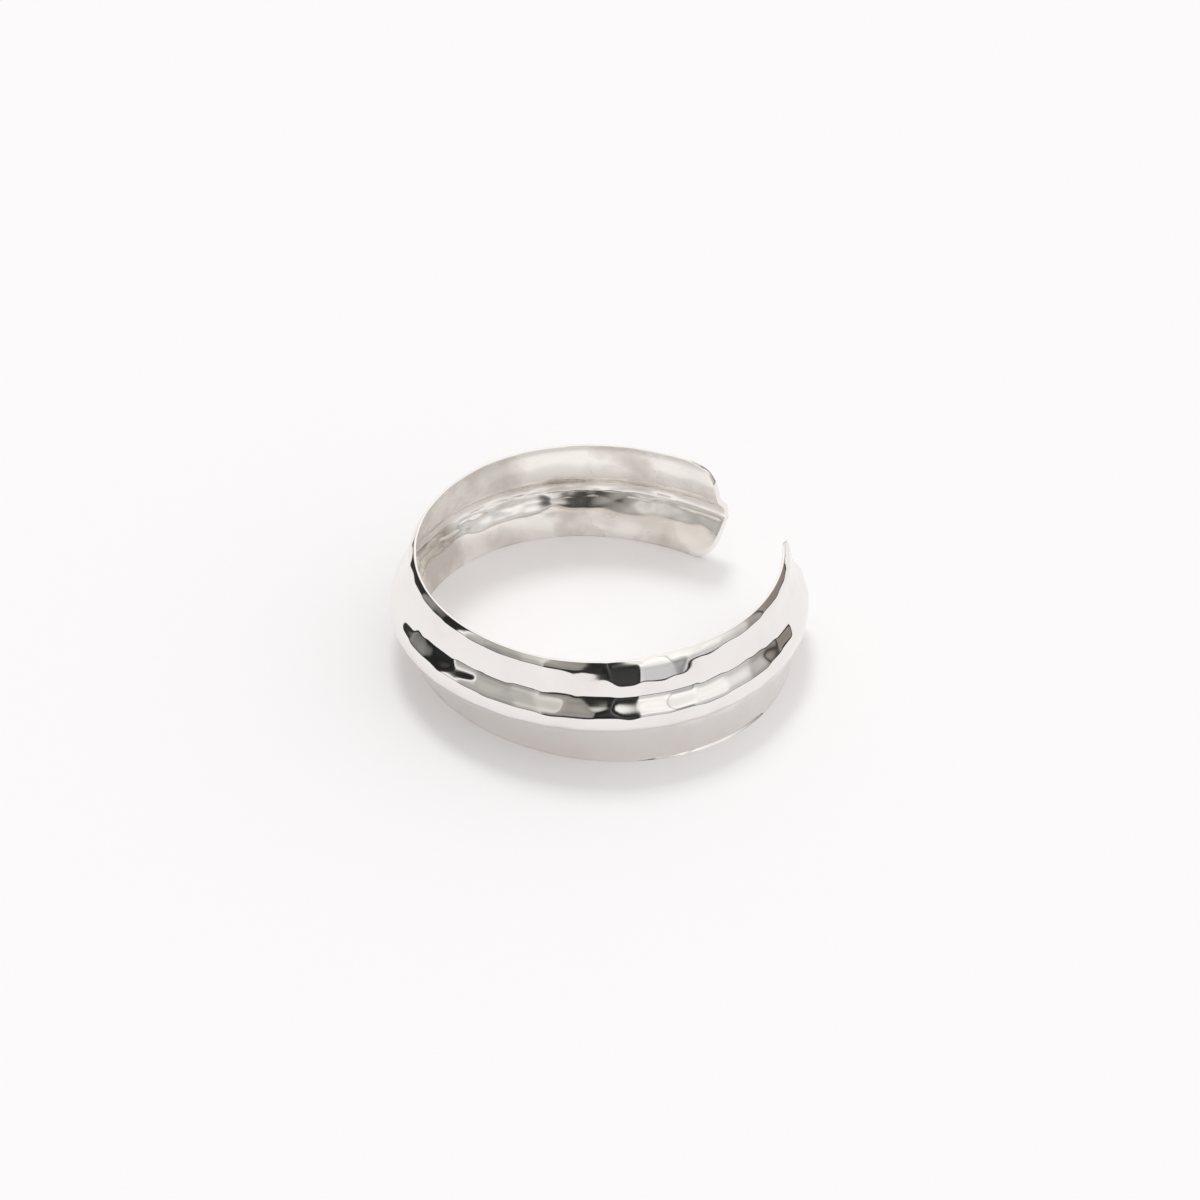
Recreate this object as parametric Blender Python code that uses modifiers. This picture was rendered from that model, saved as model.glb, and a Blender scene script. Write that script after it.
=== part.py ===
"""Open cuff bracelet raised from one strip of silver sheet.

One piece of metal: a plain flange under the top rim, a ridge pushed out all
the way round, and a lower flange that slants back in to the foot. Both ends
have rounded corners, and the outside is planished with a small hammer.
Metres, +Z up. The gap between the ends faces +X and the cuff stands on its
foot at Z = 0.
"""
import math
import random

import bmesh
import bpy
from mathutils import Matrix, Vector

# Driving dimensions
BAND_HEIGHT = 0.0179      # foot to top rim
SHEET = 0.0009            # thickness of the silver sheet
WRIST_RADIUS = 0.0294     # inside of the top rim, mean
GAP_WIDTH = 0.0212        # between the two ends, at half height
RIDGE_REACH = 0.00365     # how far the ridge stands out of the top rim
RIDGE_DEPTH = 0.00965     # top rim down to the ridge line, mean
RIDGE_SWAY = 0.0007       # how much the ridge line climbs and sinks round the band
FOOT_FLARE = 0.0004       # how much wider the foot is than the top rim
TOP_CORNER = 0.0048       # corner radius of the ends at the top rim
FOOT_CORNER = 0.0046      # corner radius of the ends at the foot
EDGE_ROUND = 0.00018      # filed edge of the sheet
PLANISH_PITCH = 0.0034    # hammer mark to hammer mark
PLANISH_DEPTH = 0.00007   # depth of one mark
PLANISH_SCATTER = 0.3     # how far a mark strays from its place, as a share of the pitch
PLANISH_SEED = 7
EDGE_ANGLE = math.radians(50.0)    # only the sheet's cut edges are as sharp as this

# How finely the strip is divided
CELLS_ROUND = 104         # along the band, end to end

# The section from the top rim to the ridge line. "down" is a share of the
# depth of the ridge line, "out" a share of RIDGE_REACH.
FLANGE_ROWS = (
    {"down": 0.00, "out": 0.000},
    {"down": 0.06, "out": 0.093},
    {"down": 0.12, "out": 0.152},
    {"down": 0.19, "out": 0.197},
    {"down": 0.30, "out": 0.250},
    {"down": 0.42, "out": 0.305},
    {"down": 0.52, "out": 0.355},
    {"down": 0.60, "out": 0.412},
    {"down": 0.67, "out": 0.515},
    {"down": 0.74, "out": 0.680},
    {"down": 0.80, "out": 0.825},
    {"down": 0.86, "out": 0.925},
    {"down": 0.92, "out": 0.975},
    {"down": 1.00, "out": 1.000},
)
# The section from the ridge line to the foot. "down" is a share of the height
# left under the ridge line, "out" a share of what the ridge stands out of the foot.
UNDER_ROWS = (
    {"down": 0.08, "out": 0.985},
    {"down": 0.15, "out": 0.910},
    {"down": 0.24, "out": 0.838},
    {"down": 0.42, "out": 0.640},
    {"down": 0.60, "out": 0.445},
    {"down": 0.82, "out": 0.205},
    {"down": 0.94, "out": 0.080},
    {"down": 1.00, "out": 0.035},
)
# The plan is a hand-bent oval. Each row is a gentle wave round it: how many
# swells it has, how high they are as a share of WRIST_RADIUS, and the angle
# from the middle of the gap to one of them, in degrees.
PLAN_WAVES = (
    {"swells": 2, "rise": 0.0233, "angle": 72.5},
    {"swells": 3, "rise": 0.0071, "angle": -11.0},
    {"swells": 4, "rise": 0.0060, "angle": -13.0},
)
# The foot was pressed a little more oval than the rim, in the same terms.
FOOT_WAVES = (
    {"swells": 1, "rise": 0.0159, "angle": -31.5},
    {"swells": 2, "rise": 0.0331, "angle": 105.5},
)
RIDGE_HIGH_ANGLE = -136.5  # where the ridge line runs highest, from the middle of the gap
ROWS = len(FLANGE_ROWS) + len(UNDER_ROWS)


def waves(table, angle):
    """Sum of the swells of a table at one angle, in metres."""
    return sum(
        WRIST_RADIUS * row["rise"] * math.cos(row["swells"] * (angle - math.radians(row["angle"])))
        for row in table
    )


def rim_radius(angle):
    """Outside radius of the top rim."""
    return WRIST_RADIUS + SHEET + waves(PLAN_WAVES, angle)


def foot_offset(angle):
    """How far the foot stands outside the top rim, negative where it is tucked in."""
    return FOOT_FLARE + waves(FOOT_WAVES, angle)


def ridge_depth(angle):
    """Depth of the ridge line below the top rim."""
    return RIDGE_DEPTH - RIDGE_SWAY * math.cos(angle - math.radians(RIDGE_HIGH_ANGLE))


def section_row(row, angle):
    """Depth below the rim and reach outside it, for one row of the section."""
    depth = ridge_depth(angle)
    if row < len(FLANGE_ROWS):
        share = FLANGE_ROWS[row]
        return share["down"] * depth, share["out"] * RIDGE_REACH
    share = UNDER_ROWS[row - len(FLANGE_ROWS)]
    foot = foot_offset(angle)
    return (
        depth + share["down"] * (BAND_HEIGHT - depth),
        foot + share["out"] * (RIDGE_REACH - foot),
    )


def corner_setback(depth):
    """How far the rounded corners pull an end back at this depth."""
    for radius, distance in ((TOP_CORNER, depth), (FOOT_CORNER, BAND_HEIGHT - depth)):
        if distance < radius:
            return radius - math.sqrt(radius**2 - (radius - distance) ** 2)
    return 0.0


def planish_marks(length):
    """Centres of the hammer marks on the flattened strip, in loose staggered rows."""
    rng = random.Random(PLANISH_SEED)
    marks = []
    columns = math.ceil(length / PLANISH_PITCH)
    lines = math.ceil(BAND_HEIGHT / PLANISH_PITCH)
    for column in range(-1, columns + 2):
        for line in range(-1, lines + 2):
            stagger = 0.5 * (column % 2)
            stray = [rng.uniform(-PLANISH_SCATTER, PLANISH_SCATTER) for _ in range(2)]
            along = (column + stray[0]) * PLANISH_PITCH
            down = (line + stagger + stray[1]) * PLANISH_PITCH
            marks.append(Vector((along, down)))
    return marks


def planish_height(marks, along, depth):
    """Height of the metal between the hammer marks: each mark is a shallow bowl."""
    here = Vector((along, depth))
    nearest = min((mark - here).length_squared for mark in marks)
    return PLANISH_DEPTH * min(1.0, nearest / (0.5 * PLANISH_PITCH) ** 2)


def outer_skin():
    """The outside of the band as an open surface, wrapped from a flat grid."""
    bm = bmesh.new()
    bmesh.ops.create_grid(bm, x_segments=CELLS_ROUND, y_segments=ROWS - 1, size=0.5)

    middle_radius = WRIST_RADIUS + SHEET + 0.5 * RIDGE_REACH
    half_gap = math.asin(0.5 * GAP_WIDTH / middle_radius)
    length = 2.0 * (math.pi - half_gap) * middle_radius
    marks = planish_marks(length)
    for vert in bm.verts:
        share = vert.co.x + 0.5
        row = round((0.5 - vert.co.y) * (ROWS - 1))
        depth, _ = section_row(row, math.pi)
        end_angle = half_gap + corner_setback(depth) / middle_radius
        angle = end_angle + share * 2.0 * (math.pi - end_angle)
        depth, reach = section_row(row, angle)
        radius = rim_radius(angle) + reach
        radius += planish_height(marks, share * length, depth) - PLANISH_DEPTH
        vert.co = (radius * math.cos(angle), radius * math.sin(angle), BAND_HEIGHT - depth)

    mesh = bpy.data.meshes.new("cuff_band")
    bm.to_mesh(mesh)
    bm.free()
    return mesh


def evaluated_copy(obj):
    """The object's mesh with its modifiers, as a mesh of its own."""
    return bpy.data.meshes.new_from_object(obj.evaluated_get(bpy.context.evaluated_depsgraph_get()))


def give_wall(obj):
    """Turn the open skin into sheet metal of even thickness, growing inwards."""
    solidify = obj.modifiers.new("sheet", "SOLIDIFY")
    solidify.thickness = SHEET
    solidify.offset = -1.0
    solidify.use_even_offset = True
    walled = evaluated_copy(obj)
    obj.modifiers.remove(solidify)
    obj.data = walled


def true_rims(mesh):
    """File the top rim and the foot flat, so that the cuff stands without rocking.

    The grid counts its rows from the foot, and the inner wall repeats the order.
    """
    for vert in mesh.vertices:
        row = vert.index // (CELLS_ROUND + 1) % ROWS
        if row == 0:
            vert.co.z = 0.0
        elif row == ROWS - 1:
            vert.co.z = BAND_HEIGHT


def round_edges(obj):
    """Take the sharp edges off the sheet, and leave the section's own bends alone."""
    bevel = obj.modifiers.new("filed edge", "BEVEL")
    bevel.width = EDGE_ROUND
    bevel.segments = 1
    bevel.limit_method = "ANGLE"
    bevel.angle_limit = EDGE_ANGLE


def centre_on_foot(obj):
    """Put the origin under the middle of the band's box."""
    finished = evaluated_copy(obj)
    xs = [vert.co.x for vert in finished.vertices]
    ys = [vert.co.y for vert in finished.vertices]
    middle = Vector(((min(xs) + max(xs)) / 2.0, (min(ys) + max(ys)) / 2.0, 0.0))
    obj.data.transform(Matrix.Translation(-middle))
    bpy.data.meshes.remove(finished)


def hammered_silver():
    """Bright silver with a soft polish."""
    material = bpy.data.materials.new("hammered_silver")
    material.use_nodes = True
    shader = material.node_tree.nodes["Principled BSDF"]
    shader.inputs["Base Color"].default_value = (0.86, 0.84, 0.81, 1.0)
    shader.inputs["Metallic"].default_value = 1.0
    shader.inputs["Roughness"].default_value = 0.12
    return material


def build():
    for obj in list(bpy.data.objects):
        bpy.data.objects.remove(obj)
    collection = bpy.data.collections.new("cuff_bracelet")
    bpy.context.scene.collection.children.link(collection)

    band = bpy.data.objects.new("cuff_band", outer_skin())
    collection.objects.link(band)
    give_wall(band)
    true_rims(band.data)
    band.data.materials.append(hammered_silver())
    round_edges(band)
    centre_on_foot(band)
    band.data.shade_smooth()
    band.data.set_sharp_from_angle(angle=EDGE_ANGLE)


build()
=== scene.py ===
# %% [markdown]
# # A hammered silver cuff
# The bracelet is one strip of silver sheet. A silversmith cuts it, pushes a ridge into it
# from the back, bends it round a mandrel, rounds its corners, planishes the front with a
# polished hammer and then files and polishes it. The lesson follows that order: section,
# bend, corners, thickness, hammer marks, punch marks, filed edges, finish and light. It
# starts from a plain CAD model, which gives the true size and is replaced by a finer piece.

# %% Load the fixed frame
import math
import random

import bpy
from mathutils import Matrix, Vector, kdtree


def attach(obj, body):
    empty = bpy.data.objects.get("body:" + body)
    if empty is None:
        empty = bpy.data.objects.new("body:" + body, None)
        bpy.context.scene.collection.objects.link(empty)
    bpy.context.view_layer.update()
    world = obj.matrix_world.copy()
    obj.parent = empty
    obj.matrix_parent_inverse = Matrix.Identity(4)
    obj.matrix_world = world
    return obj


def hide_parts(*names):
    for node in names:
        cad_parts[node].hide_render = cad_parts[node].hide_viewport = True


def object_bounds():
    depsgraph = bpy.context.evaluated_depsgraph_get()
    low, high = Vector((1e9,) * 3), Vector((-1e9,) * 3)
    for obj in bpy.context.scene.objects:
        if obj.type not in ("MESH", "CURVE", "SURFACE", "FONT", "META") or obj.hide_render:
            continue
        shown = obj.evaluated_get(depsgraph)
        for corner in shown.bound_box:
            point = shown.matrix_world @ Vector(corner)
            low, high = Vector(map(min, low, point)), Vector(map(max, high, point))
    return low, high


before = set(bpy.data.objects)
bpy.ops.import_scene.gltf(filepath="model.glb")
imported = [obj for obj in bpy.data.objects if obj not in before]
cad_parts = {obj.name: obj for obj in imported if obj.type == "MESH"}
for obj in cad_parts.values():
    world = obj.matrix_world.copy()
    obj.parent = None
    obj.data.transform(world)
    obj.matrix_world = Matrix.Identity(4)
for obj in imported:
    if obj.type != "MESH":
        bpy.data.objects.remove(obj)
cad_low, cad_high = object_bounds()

MM = 0.001
print("CAD box in mm:", [round(c / MM, 1) for c in (*cad_low, *cad_high)])

# %% [markdown]
# ## Camera
# A small shiny thing is photographed from some way off with a long lens, so that it looks
# flat and calm. The camera looks down at about 35 degrees, past one end of the gap. It could
# be placed by eye in the viewport. Worked out from the point on the table that it is aimed
# at, it keeps its aim when the distance or the height is changed.

# %% Place the camera
VIEW_FROM = math.radians(-31.65)      # round the cuff, from its front
VIEW_DOWN = math.radians(34.76)
VIEW_DISTANCE = 900 * MM
AIM = Vector((7.35, 10.19, 0.0)) * MM
LENS = 167.4                          # millimetres
SENSOR = 36.0                         # millimetres
NEAREST_SEEN = 10 * MM
FARTHEST_SEEN = 20.0                  # metres, past the end of the floor

toward_camera = Vector((
    math.sin(VIEW_FROM) * math.cos(VIEW_DOWN),
    -math.cos(VIEW_FROM) * math.cos(VIEW_DOWN),
    math.sin(VIEW_DOWN),
))
camera = bpy.data.objects.new("camera", bpy.data.cameras.new("camera"))
bpy.context.collection.objects.link(camera)
camera.data.lens = LENS
camera.data.sensor_width = SENSOR
camera.data.clip_start = NEAREST_SEEN
camera.data.clip_end = FARTHEST_SEEN
camera.location = AIM + toward_camera * VIEW_DISTANCE
camera.rotation_mode = "QUATERNION"
camera.rotation_quaternion = toward_camera.to_track_quat("Z", "Y")
bpy.context.scene.camera = camera
print("camera at", [round(c, 3) for c in camera.location])

# %% [markdown]
# ## Selecting in code
# An edit mode operator works on what is selected. With a mouse that is a click; in a
# script, a small test on each vertex or face does the same job. All is deselected first,
# because the loaded model is still selected.

# %% Helpers for edit mode and modifiers
def select_where(piece, wanted, kind="VERT"):
    """Leave edit mode open with only the vertices or faces selected that pass the test."""
    bpy.ops.object.mode_set(mode="EDIT")
    bpy.ops.mesh.select_mode(type=kind)
    bpy.ops.mesh.select_all(action="DESELECT")
    bpy.ops.object.mode_set(mode="OBJECT")
    for element in piece.data.vertices if kind == "VERT" else piece.data.polygons:
        element.select = wanted(element)
    bpy.ops.object.mode_set(mode="EDIT")


def apply_modifier(piece, kind, **settings):
    """Add a modifier with these settings and make its result the piece's mesh."""
    modifier = piece.modifiers.new(kind.lower(), kind)
    for setting, value in settings.items():
        setattr(modifier, setting, value)
    bpy.ops.object.modifier_apply(modifier=modifier.name)


bpy.ops.object.select_all(action="DESELECT")
print("selected:", len(bpy.context.selected_objects))

# %% [markdown]
# ## Section of the band
# Seen at a cut end, the sheet leans in a little at the top rim, runs down almost straight,
# turns out sharply into the ridge, rolls over the ridge line and slants back in to the
# foot. Only the points where the section turns are given, because a subdivision surface
# rounds it later. They are shares of the ridge's depth and reach, so that the section keeps
# its character when a size changes.

# %% List the points of the section
BAND_HEIGHT = cad_high.z - cad_low.z
RIM_RADIUS = 30.2 * MM                # outside of the top rim
RIDGE_REACH = 3.65 * MM               # out of the rim
RIDGE_DEPTH = 9.65 * MM               # down from the rim
FOOT_FLARE = 0.4 * MM                 # how much wider the foot is than the rim

# how far down, as a share of the ridge line's depth, and how far out, of its reach
FLANGE = (
    (0.00, 0.000), (0.06, 0.096), (0.12, 0.156), (0.19, 0.187),
    (0.30, 0.229), (0.39, 0.266), (0.50, 0.320), (0.58, 0.370),
    (0.63, 0.425), (0.68, 0.517), (0.74, 0.678), (0.80, 0.836),
    (0.84, 0.910), (0.88, 0.949), (0.93, 0.980), (1.00, 1.000),
)
# how far down what is left above the foot, and how much of the ridge is left
UNDER = (
    (0.05, 1.000), (0.09, 0.990), (0.12, 0.972), (0.145, 0.912),
    (0.165, 0.894), (0.24, 0.840), (0.32, 0.757), (0.60, 0.445),
    (0.82, 0.205), (0.94, 0.075), (0.97, 0.055), (1.00, 0.048),
)

section = [(down * RIDGE_DEPTH, out * RIDGE_REACH) for down, out in FLANGE]
section += [
    (
        RIDGE_DEPTH + down * (BAND_HEIGHT - RIDGE_DEPTH),
        FOOT_FLARE + left * (RIDGE_REACH - FOOT_FLARE),
    )
    for down, left in UNDER
]
print("points in the section:", len(section))

# %% [markdown]
# ## Drawn with extrusions
# A section could be a curve, but then its rows would not be under control. A small plane
# is added at the rim, all of it but one corner is deleted, and that vertex is extruded
# from point to point. The result is a chain of edges, like a bent wire.

# %% Extrude the section
bpy.ops.mesh.primitive_plane_add(size=MM, location=(RIM_RADIUS - MM / 2, -MM / 2, BAND_HEIGHT))
bpy.ops.object.transform_apply(location=True, rotation=True, scale=True)
band = bpy.context.active_object
band.name = "hammered_band"
band.data.name = "hammered_band"
rim_point = Vector((RIM_RADIUS, 0.0, BAND_HEIGHT))
select_where(band, lambda vert: (vert.co - rim_point).length > MM / 2)
bpy.ops.mesh.delete(type="VERT")
bpy.ops.mesh.select_all(action="SELECT")
for (depth, reach), (next_depth, next_reach) in zip(section, section[1:]):
    step = (next_reach - reach, 0.0, depth - next_depth)
    bpy.ops.mesh.extrude_vertices_move(TRANSFORM_OT_translate={"value": step})
bpy.ops.object.mode_set(mode="OBJECT")
print("vertices drawn:", len(band.data.vertices))

# %% [markdown]
# ## Round the wrist
# The strip could be modelled flat and bent with a curve. Spinning the section about the
# wrist is shorter and keeps every row level. The spin stops short of a full turn, which
# leaves the gap that the wrist goes in by. It may run either way round, so the script looks
# where the ends came out, and then turns the gap to the front of the frame, +X.

# %% Spin the section round the wrist
COLUMNS = 92                          # cells along the band
GAP_WIDTH = 21.2 * MM
MIDDLE_RADIUS = RIM_RADIUS + RIDGE_REACH / 2
HALF_GAP = math.asin(GAP_WIDTH / 2 / MIDDLE_RADIUS)
SMALL_TURN = 0.01                     # radians, less than a cell


def turn(co):
    """Angle of a point round the wrist, counted from the middle of the gap."""
    return math.atan2(co.y, co.x) % math.tau


bpy.ops.object.mode_set(mode="EDIT")
bpy.ops.mesh.select_all(action="SELECT")
bpy.ops.mesh.spin(
    steps=COLUMNS,
    angle=2.0 * (math.pi - HALF_GAP),
    center=(0.0, 0.0, 0.0),
    axis=(0.0, 0.0, 1.0),
)
bpy.ops.mesh.select_all(action="SELECT")
bpy.ops.mesh.normals_make_consistent(inside=False)
bpy.ops.object.mode_set(mode="OBJECT")
last = max(turn(vert.co) for vert in band.data.vertices)
turned_back = last > math.tau - 2.0 * HALF_GAP + SMALL_TURN
band.rotation_euler.z = -HALF_GAP if turned_back else HALF_GAP
bpy.ops.object.transform_apply(location=True, rotation=True, scale=True)
turns = [math.degrees(turn(vert.co)) for vert in band.data.vertices]
print("faces:", len(band.data.polygons), "from", round(min(turns), 1), "to", round(max(turns), 1))

# %% [markdown]
# ## Bent by hand
# A spun shape is perfectly round, and a cuff that was bent round a mandrel isn't. Slow
# waves round the plan make it a soft oval, the foot has an oval of its own, and the ridge
# line climbs a little on one side. Waves are used and not single pushes, because they
# leave no kink.

# %% Slow waves round the band
# how many swells there are round the band, how high they are, and where one of them is
PLAN_WAVES = ((2, 0.680 * MM, 72.5), (3, 0.207 * MM, -11.0), (4, 0.175 * MM, -13.0))
FOOT_WAVES = ((1, 0.464 * MM, -31.5), (2, 0.967 * MM, 105.5))
RIDGE_SWAY = 0.7 * MM
RIDGE_HIGH = math.radians(-136.5)     # where the ridge line runs highest


def swell(waves, angle):
    """Sum of a few slow waves round the band."""
    return sum(high * math.cos(count * (angle - math.radians(at))) for count, high, at in waves)


print("rim at the gap and opposite, in mm:",
      [round((RIM_RADIUS + swell(PLAN_WAVES, at)) / MM, 2) for at in (0.0, math.pi)])

# %% [markdown]
# ## Rounded corners
# A silversmith saws and files the four corners of the strip round, so that they don't
# scratch. Here each row of the mesh is shortened until its ends lie on the corner's arc.
# All rows keep their number of cells, which a boolean cut would destroy.

# %% Pull the rows back at the corners
TOP_CORNER = 4.8 * MM
FOOT_CORNER = 4.0 * MM


def corner_setback(depth):
    """How far the rounded corners pull an end back at this depth."""
    for radius, distance in ((TOP_CORNER, depth), (FOOT_CORNER, BAND_HEIGHT - depth)):
        if distance < radius:
            into = min(radius - distance, radius)
            return radius - math.sqrt(radius**2 - into**2)
    return 0.0


print("setback at the rim in mm:", round(corner_setback(0.0) / MM, 2))

# %% [markdown]
# ## Where the hand shows in the flange
# The hammer didn't reach everywhere alike. On two sides the flange runs straight into the
# ridge, with no hollow above it, and there its rim rolls over more. Over a short stretch at
# the front the rim leans in. Each of these fades out along the band with a lobe, a rise on
# one side that has no edge.

# %% Shape the flange
SOFT_SIDES = (math.radians(158), math.radians(-42))
SOFT_SLANT = ((0.39, 0.266), (0.93, 0.980))   # there the flange runs straight to the ridge
SOFTENED = 0.85                       # how straight it gets
SOFT_POWER = 20                       # a higher power makes a narrower lobe
RIM_ROLL = 0.35 * MM
ROLL_DOWN = 0.09                      # as far down, as a share of the ridge line's depth
ROLL_POWER = 6
RIM_TUCK = 0.80 * MM
TUCK_DOWN = 0.36
TUCK_SIDE = math.radians(-103)
TUCK_POWER = 18


def lobe(angle, middle, power):
    """A rise on one side of the band: 1 in its middle and nothing opposite."""
    return (0.5 + 0.5 * math.cos(angle - middle)) ** power


def flange_reach(down, reach, angle):
    """How far the flange reaches out once the hand has been at it."""
    (high, at_high), (low, at_low) = SOFT_SLANT
    if high < down < low:
        straight = at_high + (at_low - at_high) * (down - high) / (low - high)
        soft = SOFTENED * sum(lobe(angle, side, SOFT_POWER) for side in SOFT_SIDES)
        reach += (straight * RIDGE_REACH - reach) * soft
    rolled = sum(lobe(angle, side, ROLL_POWER) for side in SOFT_SIDES)
    reach -= RIM_ROLL * max(0.0, 1.0 - down / ROLL_DOWN) * rolled
    reach -= RIM_TUCK * max(0.0, 1.0 - down / TUCK_DOWN) * lobe(angle, TUCK_SIDE, TUCK_POWER)
    return reach


print("rim where it is tucked in, in mm:", round(flange_reach(0.0, 0.0, TUCK_SIDE) / MM, 2))

# %% [markdown]
# ## The foot
# The lower flange follows the foot's own oval more and more on its way down. Filing has
# turned the very edge out over one stretch, a burr that catches the light as a bright line.

# %% Shape the lower flange
FOOT_BURR = 0.55 * MM
BURR_HEIGHT = 0.5 * MM
BURR_SIDE = math.radians(-85)
BURR_POWER = 24


def under_reach(height, reach, angle):
    """How far the lower flange reaches out at this height above the foot."""
    toward_foot = 1.0 - (reach - FOOT_FLARE) / (RIDGE_REACH - FOOT_FLARE)
    reach += toward_foot * swell(FOOT_WAVES, angle)
    burr = max(0.0, 1.0 - height / BURR_HEIGHT)
    return reach + FOOT_BURR * burr * lobe(angle, BURR_SIDE, BURR_POWER)


print("foot at the burr in mm:", round(under_reach(0.0, FOOT_FLARE, BURR_SIDE) / MM, 2))

# %% [markdown]
# ## To the hand-bent shape
# Each vertex keeps its row and its column and only slides to its new place: along the band
# for the corners, up or down for the ridge line, and in or out for the rest. Then a
# subdivision surface rounds the bends.

# %% Slide the rows and columns, and round them
ROUNDING = 2                          # times that each face is divided in four


def bent_by_hand(co):
    """The place of a point of the spun band on the real, hand-bent one."""
    depth = BAND_HEIGHT - co.z
    reach = math.hypot(co.x, co.y) - RIM_RADIUS
    share = (turn(co) - HALF_GAP) / (2.0 * (math.pi - HALF_GAP))
    end = HALF_GAP + corner_setback(depth) / MIDDLE_RADIUS
    angle = end + share * 2.0 * (math.pi - end)
    ridge = RIDGE_DEPTH - RIDGE_SWAY * math.cos(angle - RIDGE_HIGH)
    if depth <= RIDGE_DEPTH:
        down = depth / RIDGE_DEPTH
        height = BAND_HEIGHT - down * ridge
        reach = flange_reach(down, reach, angle)
    else:
        left = (BAND_HEIGHT - depth) / (BAND_HEIGHT - RIDGE_DEPTH)
        height = left * (BAND_HEIGHT - ridge)
        reach = under_reach(height, reach, angle)
    radius = RIM_RADIUS + reach + swell(PLAN_WAVES, angle)
    return Vector((radius * math.cos(angle), radius * math.sin(angle), height))


for vert in band.data.vertices:
    vert.co = bent_by_hand(vert.co)
apply_modifier(band, "SUBSURF", levels=ROUNDING, render_levels=ROUNDING)
print("faces after rounding:", len(band.data.polygons))

# %% [markdown]
# ## Sheet metal
# So far the band is a skin. The Solidify modifier grows it inwards to sheet of even
# thickness, which extruding by hand would not keep even round the ridge. It also gives the
# back and the cut edges material slots of their own.

# %% Give the skin its thickness
SHEET = 0.9 * MM
BACK_SLOT = 1
EDGE_SLOT = 2

skin_count = len(band.data.vertices)
for name in ("planished_silver", "satin_silver", "filed_silver"):
    band.data.materials.append(bpy.data.materials.new(name))
apply_modifier(
    band, "SOLIDIFY", thickness=SHEET, offset=-1.0, use_even_offset=True,
    material_offset=BACK_SLOT, material_offset_rim=EDGE_SLOT,
)
mesh = band.data
front = range(skin_count)
back = range(skin_count, 2 * skin_count)
print("front and back points:", len(front), len(mesh.vertices) - skin_count)

# %% [markdown]
# ## Thin rims and a lip
# Real sheet isn't even once it has been worked. Filing and hammering thin it at both rims,
# and the metal that the punch pushed out of the channel lies under it as a wandering lip.
# The back of the mesh is moved point by point, away from the front or towards it.

# %% Thin the rims and raise the lip
# height above the foot, and how much thicker or thinner the sheet is there, all in mm
THICKER = ((0.0, -0.25), (4.5, 0.60), (8.3, 0.0), (14.0, 0.0), (18.0, -0.42))
LIP_HEIGHT = 4.5                      # mm above the foot
LIP_SWAY = 0.3                        # mm, how much the lip wanders
LIP_WAVES = ((9, 0.0), (23, 1.0))     # how many there are round the band, and their start


def between(table, value):
    """Read a value off a table of points, straight from one point to the next."""
    for (low, at_low), (high, at_high) in zip(table, table[1:]):
        if value <= high:
            return at_low + (at_high - at_low) * (value - low) / (high - low)
    return table[-1][1]


for i in front:
    outer = mesh.vertices[i]
    inner = mesh.vertices[i + skin_count]
    height = inner.co.z / MM
    wander = LIP_SWAY * sum(math.sin(count * turn(outer.co) + start) for count, start in LIP_WAVES)
    extra = between(THICKER, max(0.0, height + wander * min(1.0, height / LIP_HEIGHT)))
    inner.co += (inner.co - outer.co).normalized() * extra * MM
print("sheet at the lip in mm:", round(SHEET / MM + between(THICKER, LIP_HEIGHT), 2))

# %% [markdown]
# ## Where the blows land
# A planishing hammer has a slightly domed, mirror-bright face. Blow is set beside blow,
# never quite in rows and seldom twice on one spot. Placing three hundred of them by hand is
# slow. So a fine grid of spots covers the flat sheet, spots are picked in a random order,
# and each picked one rules out its neighbours. The order comes from a fixed seed and the
# grid from plain sums, so that the same marks come out each time.

# %% Scatter marks over a flat sheet
def sheet_points(length, width, step):
    """Evenly spaced points over a flat sheet."""
    return [
        Vector((column * step, row * step, 0.0))
        for column in range(math.ceil(length / step))
        for row in range(math.ceil(width / step) + 1)
    ]


def tree_of(points):
    """A search tree that finds the points near a place."""
    tree = kdtree.KDTree(len(points))
    for index, point in enumerate(points):
        tree.insert(point, index)
    tree.balance()
    return tree


def scatter_marks(points, spacing, rng):
    """Pick points in a random order, and leave out all that lie too close to a picked one."""
    tree = tree_of(points)
    order = list(range(len(points)))
    rng.shuffle(order)
    taken = set()
    marks = []
    for index in order:
        if index not in taken:
            marks.append(points[index])
            taken.update(found for _, found, _ in tree.find_range(points[index], spacing))
    return marks


SHEET_LENGTH = math.tau * MIDDLE_RADIUS
print("flat sheet in mm:", round(SHEET_LENGTH / MM, 1), "long")

# %% [markdown]
# ## What a blow leaves
# Each blow leaves a shallow bowl, and neighbouring bowls meet in a crest, which is what
# breaks up the reflections. A point of the metal lies in the deepest bowl that reaches it.
# Taken strictly, that gives knife-sharp crests, and polishing rounds them, so the bowls
# merge softly. A bump map would be quicker, but it would leave the outline smooth.

# %% Height of struck metal
NEIGHBOURS = 6                        # blows that can reach one point
CREST_SOFTNESS = 0.025 * MM


def struck_height(points, marks, dome, uneven, rng):
    """Height of the metal at each point, where domed blows of uneven weight landed."""
    tree = tree_of(marks)
    blow = [rng.uniform(0.0, uneven) for _ in marks]
    heights = []
    for point in points:
        near = tree.find_n(point, NEIGHBOURS)
        bowls = [distance**2 / (2.0 * dome) + blow[index] for _, index, distance in near]
        merged = sum(math.exp(-bowl / CREST_SOFTNESS) for bowl in bowls)
        heights.append(-CREST_SOFTNESS * math.log(merged))
    middle = sum(heights) / len(heights)
    return [height - middle for height in heights]


print("crests are rounded over", round(CREST_SOFTNESS / MM, 3), "mm")

# %% [markdown]
# ## Gently at the edges
# A full blow at an edge would spread it, so a smith strikes more gently there. The distance
# to the nearest point of a cut edge says how gently. The cut edges are found by their
# material slot.

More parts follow.
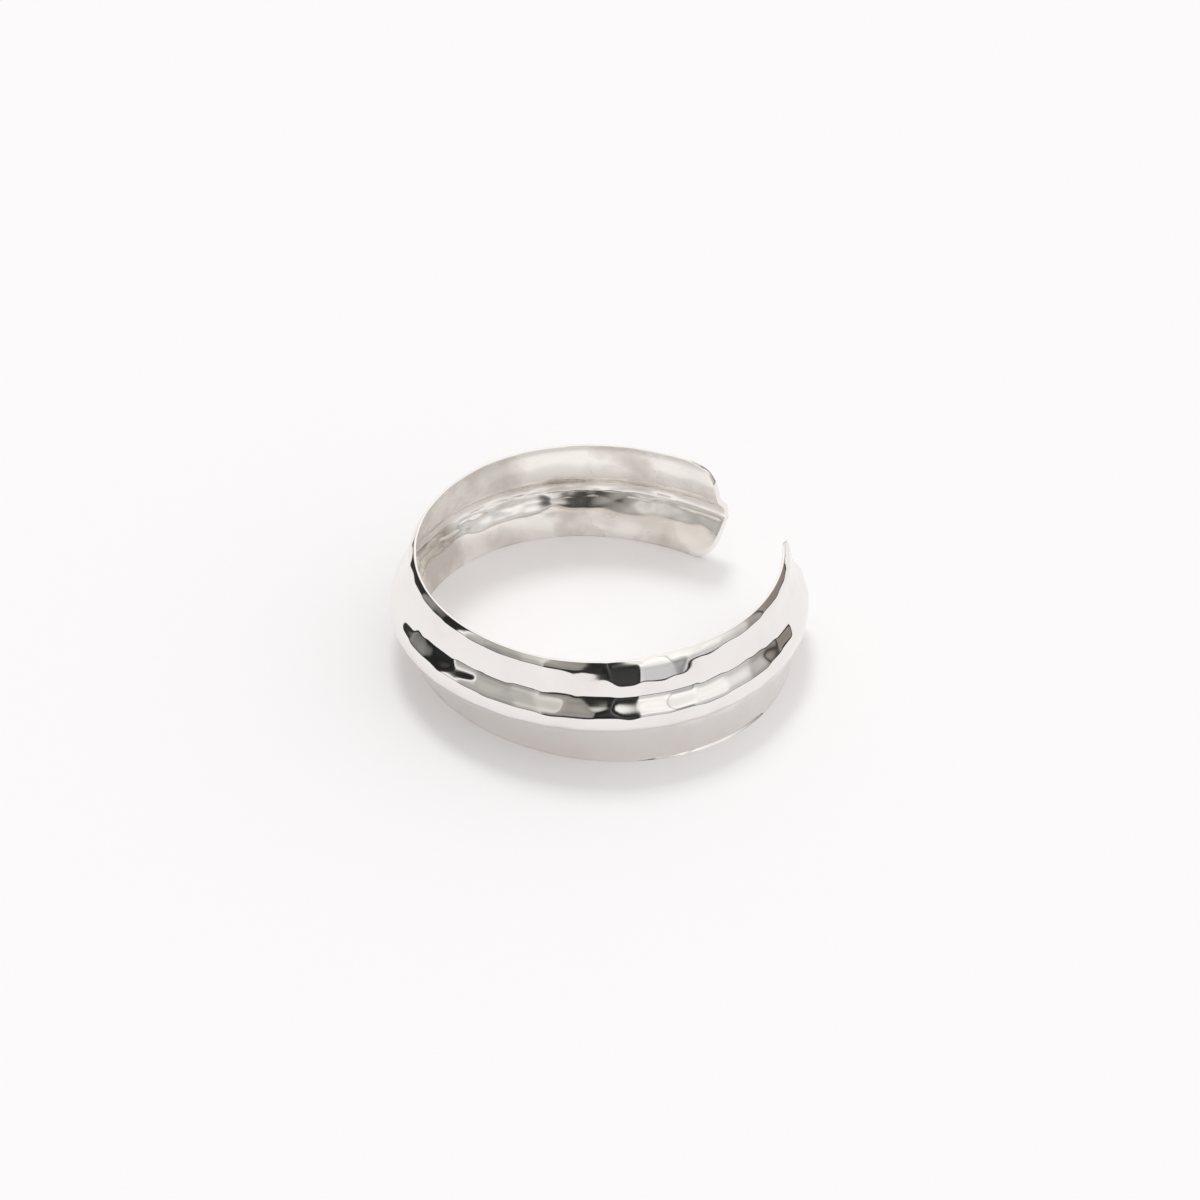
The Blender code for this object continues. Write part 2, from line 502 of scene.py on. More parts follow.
# %% Find how far each point is from a cut edge
CALM_RIM = 1.0 * MM                   # blows nearer to an edge than this are weaker
CALM_LEFT = 0.15                      # share of a blow's depth left at the edge itself

rim_points = {i for poly in mesh.polygons if poly.material_index == EDGE_SLOT
              for i in poly.vertices}
edge_tree = tree_of([mesh.vertices[i].co for i in rim_points])


def calmed(co):
    """How much of a blow's depth is left this close to a cut edge."""
    return CALM_LEFT + (1.0 - CALM_LEFT) * min(1.0, edge_tree.find(co)[2] / CALM_RIM)


print("points on the cut edges:", len(rim_points))

# %% [markdown]
# ## Planished in front
# The front is laid out flat, so that the marks keep their size over the steep ridge: along
# the band by its angle, and across it by the length of the section. Then each point moves
# in or out along its normal.

# %% Planish the front
PLANISH_SPACING = 3.3 * MM            # no two marks are closer
PLANISH_DOME = 30 * MM                # radius of the hammer's face
PLANISH_UNEVEN = 0.02 * MM            # some blows are lighter
PLANISH_STEP = 0.3 * MM               # between the spots that a blow may land on
HAMMER_SEED = 40

# depth under the top rim, and how far that is along the sheet
down_the_sheet = [(0.0, 0.0)]
for (depth, reach), (next_depth, next_reach) in zip(section, section[1:]):
    length = down_the_sheet[-1][1] + math.hypot(next_depth - depth, next_reach - reach)
    down_the_sheet.append((next_depth, length))


def on_sheet(co):
    """Where a point of the band lies on the flat sheet."""
    return Vector((turn(co) * MIDDLE_RADIUS, between(down_the_sheet, BAND_HEIGHT - co.z), 0.0))


rng = random.Random(HAMMER_SEED)
places = [mesh.vertices[i].co.copy() for i in front]
normals = [mesh.vertices[i].normal.copy() for i in front]
spots = sheet_points(SHEET_LENGTH, down_the_sheet[-1][1], PLANISH_STEP)
marks = scatter_marks(spots, PLANISH_SPACING, rng)
flat_places = [on_sheet(co) for co in places]
heights = struck_height(flat_places, marks, PLANISH_DOME, PLANISH_UNEVEN, rng)
for i in front:
    mesh.vertices[i].co += normals[i] * heights[i] * calmed(places[i])
print("hammer marks:", len(marks), "highest crest", round(max(heights) / MM, 3), "mm")

# %% [markdown]
# ## Punched from the back
# The ridge was driven out with a narrow round punch that was dragged along the inside. It
# left a channel of small, long dents. They are scattered as the hammer's were, but on a
# sheet that is squeezed along its length, so that each dent comes out stretched. Above and
# below the channel only a trace of them is left.

# %% Punch the channel
PUNCH_SPACING = 1.2 * MM
PUNCH_DOME = 3.2 * MM
PUNCH_UNEVEN = 0.12 * MM
PUNCH_STEP = 0.15 * MM
PUNCH_STRETCH = 3.0                   # how much longer a dent is than wide
CHANNEL_MIDDLE = 6.6 * MM             # above the foot
CHANNEL_HALF = 2.1 * MM
BACK_WAVES = 0.10                     # how much of it shows above and below


def channel_share(co):
    """How much a point of the back lies in the punched channel, from 0 to 1."""
    away = (co.z - CHANNEL_MIDDLE) / CHANNEL_HALF
    return BACK_WAVES + (1.0 - BACK_WAVES) * math.exp(-away**4)


places = [mesh.vertices[i].co.copy() for i in back]
normals = [mesh.vertices[i].normal.copy() for i in back]
squeezed = [Vector((turn(co) * MIDDLE_RADIUS / PUNCH_STRETCH, co.z, 0.0)) for co in places]
spots = sheet_points(SHEET_LENGTH / PUNCH_STRETCH, BAND_HEIGHT, PUNCH_STEP)
marks = scatter_marks(spots, PUNCH_SPACING, rng)
heights = struck_height(squeezed, marks, PUNCH_DOME, PUNCH_UNEVEN, rng)
for i, place, normal, height in zip(back, places, normals, heights):
    mesh.vertices[i].co += normal * height * channel_share(place) * calmed(place)
print("punch marks:", len(marks), "highest crest", round(max(heights) / MM, 3), "mm")

# %% [markdown]
# ## Trued on a stone
# The top rim and the foot are rubbed flat on a stone, so that the cuff stands without
# rocking. The inside of a rim follows its outside, so that the narrow top face is level and
# not cut off at a slant. Points that are nearly level are then made exactly so.

# %% True the rims
TRUED = 2.5 * MM                      # the stone's work fades out over this height
NEAR_LEVEL = 0.12 * MM
LEVELS = (0.0, BAND_HEIGHT)

for i in front:
    outer = mesh.vertices[i]
    inner = mesh.vertices[i + skin_count]
    for level in LEVELS:
        near = max(0.0, 1.0 - abs(outer.co.z - level) / TRUED)
        inner.co.z += (outer.co.z - inner.co.z) * near * near
for i in rim_points:
    vert = mesh.vertices[i]
    for level in LEVELS:
        if abs(vert.co.z - level) < NEAR_LEVEL:
            vert.co.z = level
print("level points:", sum(mesh.vertices[i].co.z in LEVELS for i in rim_points))

# %% [markdown]
# ## Filed edges
# The edges of a cuff touch the skin, so they are filed round. Where the rim leans in, its
# edge is blunt, and a Bevel modifier with an angle limit would miss stretches of it. So the
# faces of the cut edge are selected by their material, the selection is turned into its
# border, and the border is bevelled. That may push a point a hair past the stone's levels,
# so the heights are held between them.

# %% File the edges round
EDGE_ROUND = 0.15 * MM
EDGE_STEPS = 3                        # faces across the rounding

select_where(band, lambda poly: poly.material_index == EDGE_SLOT, kind="FACE")
bpy.ops.mesh.region_to_loop()
bpy.ops.mesh.bevel(offset=EDGE_ROUND, segments=EDGE_STEPS, clamp_overlap=True)
bpy.ops.object.mode_set(mode="OBJECT")
mesh = band.data
for vert in mesh.vertices:
    vert.co.z = min(max(vert.co.z, 0.0), BAND_HEIGHT)
triangles = sum(len(poly.vertices) - 2 for poly in mesh.polygons)
print("triangles:", triangles)

# %% [markdown]
# ## In its place
# The finer piece has to stand where the plain one stands. The middles of their boxes are
# laid on each other by moving the mesh, and the object stays at the origin. Smooth shading
# ends at sharp edges, though a filed band hardly has any.

# %% Centre the band and shade it smooth
SHARP = math.radians(50)

low = Vector([min(vert.co[axis] for vert in mesh.vertices) for axis in range(3)])
high = Vector([max(vert.co[axis] for vert in mesh.vertices) for axis in range(3)])
off = (cad_low + cad_high) / 2.0 - (low + high) / 2.0
mesh.transform(Matrix.Translation((off.x, off.y, 0.0)))
bpy.ops.object.shade_smooth_by_angle(angle=SHARP)
print("band in mm:", [round(c / MM, 2) for c in high - low])
print("CAD in mm:", [round(c / MM, 2) for c in cad_high - cad_low])

# %% [markdown]
# ## Unrolled for its finish
# Polishing lines run along the band, round the bend. To let a pattern do the same, the
# piece gets a UV map of the flat sheet: millimetres along the band and millimetres above
# the foot. Then the piece takes the place of the plain one.

# %% Unroll the band and hand it over
flat_map = mesh.uv_layers.new(name="unrolled")
for loop in mesh.loops:
    co = mesh.vertices[loop.vertex_index].co
    flat_map.data[loop.index].uv = (turn(co) * MIDDLE_RADIUS / MM, co.z / MM)

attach(band, "root")
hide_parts("cuff_band")
print("corners mapped:", len(flat_map.data))

# %% [markdown]
# ## Node helpers
# Materials are small networks. A few helpers keep the lines short: one adds a node with its
# settings and inputs, one makes a node group with named inputs and outputs, and one puts a
# group in a material.

# %% Helpers for nodes
FLOAT = "NodeSocketFloat"
COLOR = "NodeSocketColor"


def add_node(tree, kind, inputs=None, **settings):
    """Add a node; an input is given as a value or as another node's output socket."""
    node = tree.nodes.new(kind)
    for setting, value in settings.items():
        setattr(node, setting, value)
    for key, value in (inputs or {}).items():
        if isinstance(value, bpy.types.NodeSocket):
            tree.links.new(value, node.inputs[key])
        else:
            node.inputs[key].default_value = value
    return node


def new_group(name, inputs, outputs):
    """A node group with float or colour sockets, and its input and output nodes."""
    group = bpy.data.node_groups.new(name, "ShaderNodeTree")
    for socket, (kind, value) in inputs.items():
        made = group.interface.new_socket(name=socket, in_out="INPUT", socket_type=kind)
        made.default_value = value
    for socket, kind in outputs.items():
        group.interface.new_socket(name=socket, in_out="OUTPUT", socket_type=kind)
    return group, add_node(group, "NodeGroupInput"), add_node(group, "NodeGroupOutput")


def place_group(tree, group, **inputs):
    """Put a node group in a material, with its own values."""
    return add_node(tree, "ShaderNodeGroup", inputs=inputs, node_tree=group)


print("slots to finish:", [material.name for material in mesh.materials])

# %% [markdown]
# ## Polishing lines
# A polishing stick leaves fine lines along the band, clearer in some patches than in
# others. They could be scratches from an image. A noise texture that is squeezed along the
# band gives the same and never repeats. The group puts out a mask, and each finish decides
# how far the lines roughen it and how deep they are.

# %% Polishing lines
PATCH_SIZE = 0.35                     # noise cells per millimetre, so patches of 3 mm

lines, given, out = new_group(
    "polishing_lines",
    {"Fineness": (FLOAT, 12.0), "Stretch": (FLOAT, 0.03), "Patchiness": (FLOAT, 0.5)},
    {"Mask": FLOAT},
)
uv = add_node(lines, "ShaderNodeUVMap", uv_map="unrolled")
parts = add_node(lines, "ShaderNodeSeparateXYZ", inputs={"Vector": uv.outputs["UV"]})
along = add_node(
    lines, "ShaderNodeMath", operation="MULTIPLY",
    inputs={0: parts.outputs["X"], 1: given.outputs["Stretch"]},
)
drawn_out = add_node(
    lines, "ShaderNodeCombineXYZ",
    inputs={"X": along.outputs[0], "Y": parts.outputs["Y"]},
)
grain = add_node(
    lines, "ShaderNodeTexNoise",
    inputs={"Vector": drawn_out.outputs[0], "Scale": given.outputs["Fineness"], "Detail": 3.0},
)
patches = add_node(
    lines, "ShaderNodeTexNoise",
    inputs={"Vector": uv.outputs["UV"], "Scale": PATCH_SIZE, "Detail": 2.0},
)
patchy = add_node(
    lines, "ShaderNodeMix", data_type="FLOAT",
    inputs={0: given.outputs["Patchiness"], 2: 1.0, 3: patches.outputs[0]},
)
strength = add_node(
    lines, "ShaderNodeMath", operation="MULTIPLY",
    inputs={0: grain.outputs[0], 1: patchy.outputs[0]},
)
lines.links.new(strength.outputs[0], out.inputs["Mask"])
print("polishing lines:", len(lines.nodes), "nodes")

# %% [markdown]
# ## Old polish and painted shade
# Silver that has been handled is bright in some places and clouded in others, where old
# polish and a breath of tarnish are left. On the satin inside the clouds are darker and
# stronger, and there they are partly tarnish and partly painted shade: they stand in for
# the dark patches that shaded paper leaves in a blurred reflection. The clouds don't follow
# the sheet, so they come from a noise in object coordinates. The group puts out both the
# mask and the colour, which lies between fresh and old silver.

# %% Old polish and painted shade
FRESH_SILVER = (0.880, 0.857, 0.838, 1.0)
OLD_SILVER = (0.800, 0.752, 0.715, 1.0)
CLOUD_STARTS = 0.46                   # of the noise, which lies mostly from 0.3 to 0.7
CLOUD_FULL = 0.64

clouding, given, out = new_group(
    "old_polish_and_reflected_shade",
    {"Size": (FLOAT, 90.0), "Amount": (FLOAT, 1.0),
     "Fresh": (COLOR, FRESH_SILVER), "Old": (COLOR, OLD_SILVER)},
    {"Mask": FLOAT, "Silver": COLOR},
)
spot = add_node(clouding, "ShaderNodeTexCoord")
cloud = add_node(
    clouding, "ShaderNodeTexNoise",
    inputs={"Vector": spot.outputs["Object"], "Scale": given.outputs["Size"], "Detail": 4.0},
)
cloud_share = add_node(
    clouding, "ShaderNodeMapRange",
    inputs={"Value": cloud.outputs[0], "From Min": CLOUD_STARTS, "From Max": CLOUD_FULL,
            "To Max": given.outputs["Amount"]},
)
# on the satin inside this tone is partly painted shade in the reflections
tone = add_node(
    clouding, "ShaderNodeMix", data_type="RGBA",
    inputs={0: cloud_share.outputs[0], 6: given.outputs["Fresh"], 7: given.outputs["Old"]},
)
clouding.links.new(cloud_share.outputs[0], out.inputs["Mask"])
clouding.links.new(tone.outputs[2], out.inputs["Silver"])
print("old polish:", len(clouding.nodes), "nodes")

# %% [markdown]
# ## Burnished channel
# The punch is polished steel, and where it rubbed, the metal is brighter than beside it.
# The mask is full in the middle of the channel and fades out at its borders, by the height
# above the foot in the flat map.

# %% Burnished channel
FADE_STARTS = 0.8                     # of the channel's half width
FADE_ENDS = 1.2

burnish, given, out = new_group(
    "burnished_channel",
    {"Middle": (FLOAT, CHANNEL_MIDDLE / MM), "Half": (FLOAT, 2.4)},
    {"Mask": FLOAT},
)
uv = add_node(burnish, "ShaderNodeUVMap", uv_map="unrolled")
parts = add_node(burnish, "ShaderNodeSeparateXYZ", inputs={"Vector": uv.outputs["UV"]})
offset = add_node(
    burnish, "ShaderNodeMath", operation="SUBTRACT",
    inputs={0: parts.outputs["Y"], 1: given.outputs["Middle"]},
)
away = add_node(burnish, "ShaderNodeMath", operation="ABSOLUTE", inputs={0: offset.outputs[0]})
half = add_node(
    burnish, "ShaderNodeMath", operation="DIVIDE",
    inputs={0: away.outputs[0], 1: given.outputs["Half"]},
)
inside = add_node(
    burnish, "ShaderNodeMapRange", interpolation_type="SMOOTHSTEP",
    inputs={"Value": half.outputs[0], "From Min": FADE_STARTS, "From Max": FADE_ENDS,
            "To Min": 1.0, "To Max": 0.0},
)
burnish.links.new(inside.outputs[0], out.inputs["Mask"])
print("burnished channel:", len(burnish.nodes), "nodes")

# %% [markdown]
# ## One recipe for silver
# All three finishes are the same metal, so they share one recipe. A metal has no colour of
# its own beside its reflections: its base colour tints them and its roughness blurs them.
# The lines and the clouds drive the roughness, and a very slight bump lets the lines catch
# the light.

# %% Recipe for a silver finish
def silver_finish(name, smooth, rough, channel_rough, relief, line_values, cloud_values):
    """Silver whose roughness follows the polishing lines, the old polish and the channel."""
    material = bpy.data.materials[name]
    material.use_nodes = True
    tree = material.node_tree
    shader = tree.nodes["Principled BSDF"]
    shader.inputs["Metallic"].default_value = 1.0
    marked = place_group(tree, lines, **line_values)
    clouded_tone = place_group(tree, clouding, **cloud_values)
    both = add_node(
        tree, "ShaderNodeMath", operation="ADD", use_clamp=True,
        inputs={0: marked.outputs["Mask"], 1: clouded_tone.outputs["Mask"]},
    )
    roughness = add_node(
        tree, "ShaderNodeMapRange",
        inputs={"Value": both.outputs[0], "To Min": smooth, "To Max": rough},
    )
    channel = place_group(tree, burnish)
    polished = add_node(
        tree, "ShaderNodeMix", data_type="FLOAT",
        inputs={0: channel.outputs["Mask"], 2: roughness.outputs[0], 3: channel_rough},
    )
    bump = add_node(
        tree, "ShaderNodeBump",
        inputs={"Height": marked.outputs["Mask"], "Strength": 1.0, "Distance": relief},
    )
    tree.links.new(clouded_tone.outputs["Silver"], shader.inputs["Base Color"])
    tree.links.new(polished.outputs[0], shader.inputs["Roughness"])
    tree.links.new(bump.outputs[0], shader.inputs["Normal"])
    print(name, "from", smooth, "to", rough, "rough,", channel_rough, "in the channel")


print("the recipe reads:", [group.name for group in (lines, clouding, burnish)])

# %% [markdown]
# ## Three finishes
# Outside, the polished hammer leaves the metal almost a mirror. Inside it was only rubbed
# with a stick, and is satin and a little dull, warmer in tone. Its strong dark clouds are
# partly tarnish and partly painted shade of the reflections. The filed edges lie between
# the two.

# %% Finish the outside, the inside and the edges
WARM_SILVER = (0.968, 0.942, 0.906, 1.0)
# dark tone of the satin's clouds: partly tarnish, partly painted shade of the reflections
DULL_SILVER_AND_REFLECTED_SHADE = (0.650, 0.606, 0.555, 1.0)

silver_finish(
    "planished_silver", smooth=0.03, rough=0.10, channel_rough=0.06, relief=0.0002 * MM,
    line_values={"Fineness": 9.0, "Stretch": 0.04, "Patchiness": 0.9},
    cloud_values={"Size": 130.0, "Amount": 0.30},
)
silver_finish(
    "satin_silver", smooth=0.15, rough=0.36, channel_rough=0.18, relief=0.0004 * MM,
    line_values={"Fineness": 14.0, "Stretch": 0.06, "Patchiness": 0.5},
    # these strong clouds are partly painted shade in the reflections, as well as tarnish
    cloud_values={"Size": 95.0, "Amount": 0.8, "Fresh": WARM_SILVER, "Old": DULL_SILVER_AND_REFLECTED_SHADE},
)
silver_finish(
    "filed_silver", smooth=0.08, rough=0.20, channel_rough=0.12, relief=0.0004 * MM,
    line_values={"Fineness": 16.0, "Stretch": 0.10, "Patchiness": 0.4},
    cloud_values={"Size": 120.0, "Amount": 0.10},
)

# %% [markdown]
# ## Floor
# The cuff stands on a wide sheet of white paper. It is so wide that its border is never
# seen, not even in the metal, and it lies a hair under the foot, because two faces in one
# plane flicker.

# %% Lay the paper
FLOOR_SIZE = 4.0                      # metres
FLOOR_DROP = 0.02 * MM
PAPER_WHITE = (0.90, 0.893, 0.893, 1.0)

bpy.ops.mesh.primitive_plane_add(size=FLOOR_SIZE, location=(0.0, 0.0, cad_low.z - FLOOR_DROP))
floor = bpy.context.active_object
floor.name = "paper_floor"
floor.data.name = "paper_floor"
paper = bpy.data.materials.new("white_paper")
paper.use_nodes = True
paper_shader = paper.node_tree.nodes["Principled BSDF"]
paper_shader.inputs["Base Color"].default_value = PAPER_WHITE
paper_shader.inputs["Roughness"].default_value = 1.0
paper_shader.inputs["Specular IOR Level"].default_value = 0.0
floor.data.materials.append(paper)
print("paper:", FLOOR_SIZE, "m wide")

# %% [markdown]
# ## Window light
# Soft light falls from behind and above, a little from the left, and throws the pale shadow
# in front of the cuff. A sun lamp is the simplest such light, and a wide angle gives its
# shadow a soft edge. It is hidden from the metal, which sees the window in the room instead.

# %% Window light
SUN_TURN = math.radians(68)
SUN_HEIGHT = math.radians(60)
SUN_STRENGTH = 0.80
SUN_SOFTNESS = math.radians(18)

sun = bpy.data.objects.new("window_light", bpy.data.lights.new("window_light", "SUN"))
bpy.context.collection.objects.link(sun)
sun.data.energy = SUN_STRENGTH
sun.data.angle = SUN_SOFTNESS
sun.visible_glossy = False
toward_sun = Vector((
    math.cos(SUN_TURN) * math.cos(SUN_HEIGHT),
    math.sin(SUN_TURN) * math.cos(SUN_HEIGHT),
    math.sin(SUN_HEIGHT),
))
sun.rotation_euler = toward_sun.to_track_quat("Z", "Y").to_euler()
print("window light from", [round(c, 2) for c in toward_sun])

# %% [markdown]
# ## Light thrown down by the inner wall
# The bright inner wall throws window light down on the paper it encloses. A path tracer
# finds such light slowly and with much noise, so a weak disc lamp over the paper takes its
# place. It can't be seen in the silver.

# %% Inner light
GLOW_SIZE = 1.5 * RIM_RADIUS
GLOW_WATTS = 0.0006

glow = bpy.data.objects.new("wall_glow", bpy.data.lights.new("wall_glow", "AREA"))
bpy.context.collection.objects.link(glow)
glow.data.shape = "DISK"
glow.data.size = GLOW_SIZE
glow.data.energy = GLOW_WATTS
glow.location = (0.0, 0.0, BAND_HEIGHT)
glow.visible_glossy = False
glow.visible_camera = False
print("inner light:", round(GLOW_SIZE / MM), "mm wide")

# %% [markdown]
# ## The room in the reflections
# Polished silver shows little of itself: what is seen is the room. An image of a real room
# is the usual way. Here the walls are a few colours at chosen angles, which can be moved
# until each window and each dark gap falls where it should in the metal. First come the
# walls at eye level, as the angle to the right of the camera and the colour there.

# %% Walls at eye level
WALLS = (
    (-180, (1.05, 1.03, 1.02)), (-158, (0.90, 0.88, 0.86)), (-150, (0.06, 0.06, 0.06)),
    (-122, (0.03, 0.03, 0.03)), (-116, (0.30, 0.30, 0.29)), (-106, (0.20, 0.20, 0.19)),
    (-102, (0.02, 0.02, 0.02)), (-89, (0.03, 0.03, 0.03)), (-86, (1.00, 1.00, 0.98)),
    (-80, (0.52, 0.51, 0.49)), (-66, (0.36, 0.35, 0.33)), (-48, (0.44, 0.43, 0.41)),
    (-33, (0.66, 0.65, 0.62)), (-31, (0.36, 0.34, 0.32)), (-10, (0.28, 0.27, 0.26)),
    (-5, (0.02, 0.02, 0.02)), (3, (0.02, 0.02, 0.02)), (9, (0.07, 0.07, 0.07)),
    (20, (0.02, 0.02, 0.02)), (22, (0.70, 0.70, 0.71)), (46, (0.62, 0.62, 0.63)),
    (48, (0.20, 0.20, 0.20)), (50, (0.66, 0.66, 0.67)), (84, (0.62, 0.61, 0.60)),
    (100, (0.36, 0.33, 0.31)), (104, (0.30, 0.27, 0.25)), (107, (0.02, 0.02, 0.02)),
    (110, (0.36, 0.32, 0.29)), (168, (0.20, 0.18, 0.17)), (174, (0.95, 0.93, 0.92)),
    (180, (1.05, 1.03, 1.02)),
)
print("walls at eye level:", len(WALLS), "colours")

# %% [markdown]
# ## Higher up
# Above eye level the room is brighter, because the windows reach up there. A strip of
# shade runs where floor and wall meet, and rises over one stretch. In the metal it draws
# the fine dark line between paper and wall.

# %% Upper walls, skirting and ceiling
UPPER_WALLS = (
    (-180, (1.05, 1.03, 1.02)), (-158, (0.90, 0.88, 0.86)), (-150, (0.06, 0.06, 0.06)),
    (-122, (0.03, 0.03, 0.03)), (-116, (0.26, 0.26, 0.25)), (-102, (0.02, 0.02, 0.02)),
    (-89, (0.03, 0.03, 0.03)), (-86, (1.05, 1.05, 1.03)), (-78, (0.50, 0.49, 0.465)),
    (-50, (0.55, 0.54, 0.515)), (-33, (0.78, 0.77, 0.74)), (-31, (0.44, 0.42, 0.39)),
    (-8, (0.34, 0.32, 0.30)), (-5, (0.02, 0.02, 0.02)), (5, (0.05, 0.05, 0.05)),
    (9, (0.16, 0.16, 0.15)), (11, (0.03, 0.03, 0.03)), (18, (0.03, 0.03, 0.03)),
    (21, (1.12, 1.10, 1.08)), (45, (1.10, 1.08, 1.07)), (48, (0.60, 0.59, 0.58)),
    (51, (1.15, 1.14, 1.12)), (98, (1.02, 1.00, 0.98)), (103, (0.62, 0.59, 0.56)),
    (105, (0.30, 0.28, 0.26)), (107, (0.05, 0.05, 0.05)), (110, (0.42, 0.38, 0.35)),
    (130, (0.30, 0.27, 0.25)), (138, (0.70, 0.68, 0.66)), (180, (1.10, 1.08, 1.06)),
)
SKIRTING = (0.035, 0.035, 0.035, 1.0)
# how many degrees over the horizon the strip ends
SKIRTING_TOP = ((-180, 2.6), (-33, 2.6), (-31, 7.0), (-6, 13.0), (-4, 2.6), (180, 2.6))
CEILING = (1.25, 1.23, 1.20, 1.0)
# between these heights, in degrees, each fades in over what is below it
UPPER_STARTS = (12, 34)
CEILING_STARTS = (60, 72)
print("upper walls:", len(UPPER_WALLS), "colours")

# %% [markdown]
# ## Looking round the room
# The world is painted by direction. The direction is turned until its front is the
# camera's, and then it gives two numbers: how far round, which runs the colour ramps, and
# how high.

# %% Directions in the room
world = bpy.data.worlds.new("studio")
bpy.context.scene.world = world
world.use_nodes = True
world.cycles.sampling_method = "NONE"
room = world.node_tree
room.nodes.clear()
look = add_node(room, "ShaderNodeTexCoord")
turned = add_node(
    room, "ShaderNodeMapping",
    inputs={"Vector": look.outputs["Generated"], "Rotation": (0.0, 0.0, -VIEW_FROM)},
)
axes = add_node(room, "ShaderNodeSeparateXYZ", inputs={"Vector": turned.outputs[0]})
toward = add_node(
    room, "ShaderNodeMath", operation="MULTIPLY", inputs={0: axes.outputs["Y"], 1: -1.0},
)
azimuth = add_node(
    room, "ShaderNodeMath", operation="ARCTAN2",
    inputs={0: axes.outputs["X"], 1: toward.outputs[0]},
)
round_share = add_node(
    room, "ShaderNodeMapRange",
    inputs={"Value": azimuth.outputs[0], "From Min": -math.pi, "From Max": math.pi},
)
print("direction nodes:", len(room.nodes))

# %% [markdown]
# ## Layers of the room
# Three helpers build the room from below: a ramp of colours all round, a mask that starts
# at a height, and a layer that lays one colour over another.

# %% Helpers for the room
def round_the_room(table):
    """A colour ramp round the room, from angles to the right of the camera."""
    ramp = add_node(room, "ShaderNodeValToRGB", inputs={"Fac": round_share.outputs[0]})
    stops = ramp.color_ramp.elements
    stops.remove(stops[1])
    for number, (angle, colour) in enumerate(table):
        place = (angle + 180) / 360
        stop = stops[0] if number == 0 else stops.new(place)
        stop.position = place
        stop.color = (*colour, 1.0)
    return ramp.outputs[0]


def above(low, high):
    """0 below the first height and 1 above the second, in degrees over the horizon."""
    return add_node(
        room, "ShaderNodeMapRange", interpolation_type="SMOOTHSTEP",
        inputs={"Value": axes.outputs["Z"], "From Min": math.sin(math.radians(low)),
                "From Max": math.sin(math.radians(high))},
    ).outputs[0]


def layer(mask, under, over):
    """Lay one colour over another where the mask says so."""
    return add_node(
        room, "ShaderNodeMix", data_type="RGBA", inputs={0: mask, 6: under, 7: over},
    ).outputs[2]


print("nodes in the room so far:", len(room.nodes))

# %% [markdown]
# ## Walls, strip and ceiling
# The lower walls fade into the upper ones. A soft noise makes them uneven, as a real wall
# with its shadows is, because an even grey in the metal looks painted. The strip goes over
# the walls, and the ceiling over all.

# %% Build the room
DAPPLE_SIZE = 3.0                     # noise cells to a unit of direction
DIM_SPOT = 0.78                       # times the wall's own brightness
BRIGHT_SPOT = 1.12
NOISE_LOW = 0.3                       # between these two lies most of the noise
NOISE_HIGH = 0.7

walls = layer(above(*UPPER_STARTS), round_the_room(WALLS), round_the_room(UPPER_WALLS))
dappled = add_node(
    room, "ShaderNodeTexNoise",
    inputs={"Vector": turned.outputs[0], "Scale": DAPPLE_SIZE, "Detail": 2.0},
)
dapple = add_node(
    room, "ShaderNodeMapRange",
    inputs={"Value": dappled.outputs[0], "From Min": NOISE_LOW, "From Max": NOISE_HIGH,
            "To Min": DIM_SPOT, "To Max": BRIGHT_SPOT},
)
uneven = add_node(
    room, "ShaderNodeMix", data_type="RGBA", blend_type="MULTIPLY",
    inputs={0: 1.0, 6: walls, 7: dapple.outputs[0]},
)
strip_top = round_the_room(
    [(angle, [math.sin(math.radians(top))] * 3) for angle, top in SKIRTING_TOP]
)
over_strip = add_node(
    room, "ShaderNodeMath", operation="GREATER_THAN",
    inputs={0: axes.outputs["Z"], 1: strip_top},
)
walls = layer(over_strip.outputs[0], SKIRTING, uneven.outputs[2])
walls = layer(above(*CEILING_STARTS), walls, CEILING)
mirrored = add_node(room, "ShaderNodeBackground", inputs={"Color": walls})
print("nodes with walls and ceiling:", len(room.nodes))

# %% [markdown]
# ## Fill and bounce
# The paper isn't lit by the dark room of the reflections, but by an even white light that
# is a little stronger from the right and from behind. The silver in its turn throws a warm
# light on the paper, which is set by itself.

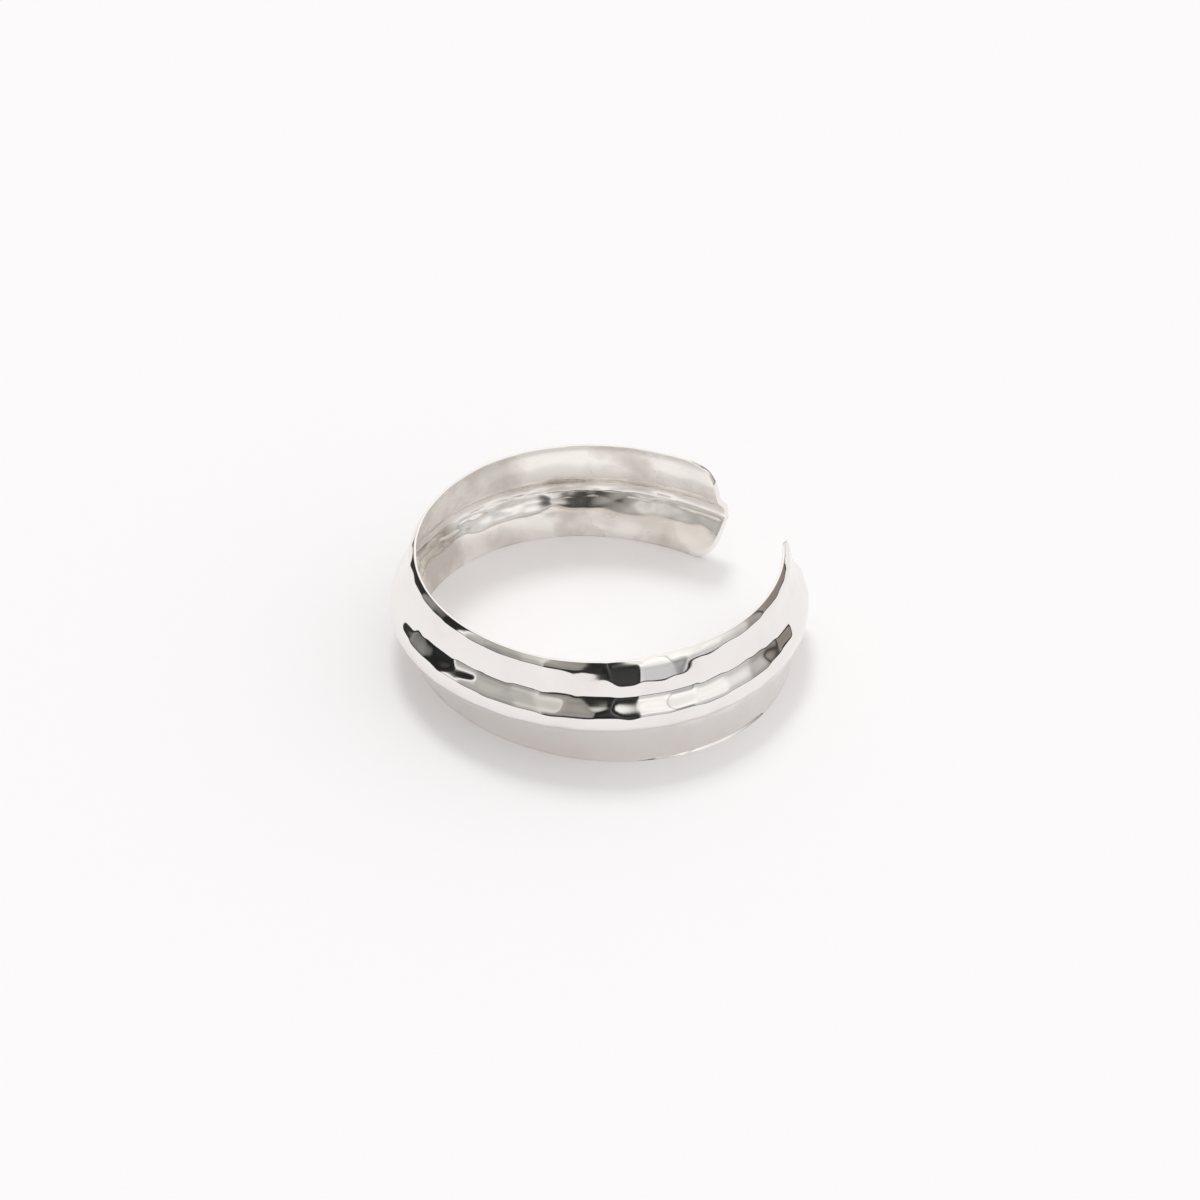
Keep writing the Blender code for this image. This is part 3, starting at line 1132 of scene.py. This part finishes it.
# %% Light on the paper
PAPER_LIGHT = (0.965, 0.955, 0.955, 1.0)
FILL_LIGHT = 0.89
BRIGHTER_TOWARD = (0.35, 0.15, 0.0)   # to the right and behind
BOUNCE_LIGHT = 1.15
BOUNCE_COLOUR = (1.0, 0.955, 0.945, 1.0)

side = add_node(
    room, "ShaderNodeVectorMath", operation="DOT_PRODUCT",
    inputs={0: turned.outputs[0], 1: BRIGHTER_TOWARD},
)
fill_strength = add_node(
    room, "ShaderNodeMath", operation="MULTIPLY_ADD",
    inputs={0: side.outputs["Value"], 1: FILL_LIGHT, 2: FILL_LIGHT},
)
fill = add_node(
    room, "ShaderNodeBackground",
    inputs={"Color": PAPER_LIGHT, "Strength": fill_strength.outputs[0]},
)
bounce = add_node(
    room, "ShaderNodeBackground", inputs={"Color": BOUNCE_COLOUR, "Strength": BOUNCE_LIGHT},
)
backdrop = add_node(room, "ShaderNodeBackground", inputs={"Color": PAPER_LIGHT})
print("fill", FILL_LIGHT, "bounce", BOUNCE_LIGHT)

# %% [markdown]
# ## Who sees what
# The path of a ray decides what it meets. Straight from the camera it meets a plain pale
# backdrop. Off the silver it meets the room, unless it has touched the paper before: then
# it is light on its way to the paper, and meets the bounce. All other rays meet the fill.

# %% Share the world out by the path of the ray
FIRST_LOOK = 0.5                      # fewer than one touch of the paper

path = add_node(room, "ShaderNodeLightPath")
first_look = add_node(
    room, "ShaderNodeMath", operation="LESS_THAN",
    inputs={0: path.outputs["Diffuse Depth"], 1: FIRST_LOOK},
)
in_silver = add_node(
    room, "ShaderNodeMixShader",
    inputs={0: first_look.outputs[0], 1: bounce.outputs[0], 2: mirrored.outputs[0]},
)
unseen = add_node(
    room, "ShaderNodeMixShader",
    inputs={0: path.outputs["Is Glossy Ray"], 1: fill.outputs[0], 2: in_silver.outputs[0]},
)
seen = add_node(
    room, "ShaderNodeMixShader",
    inputs={0: path.outputs["Is Camera Ray"], 1: unseen.outputs[0], 2: backdrop.outputs[0]},
)
add_node(room, "ShaderNodeOutputWorld", inputs={"Surface": seen.outputs[0]})
bpy.context.scene.view_settings.view_transform = "Standard"
print("nodes in the room:", len(room.nodes))
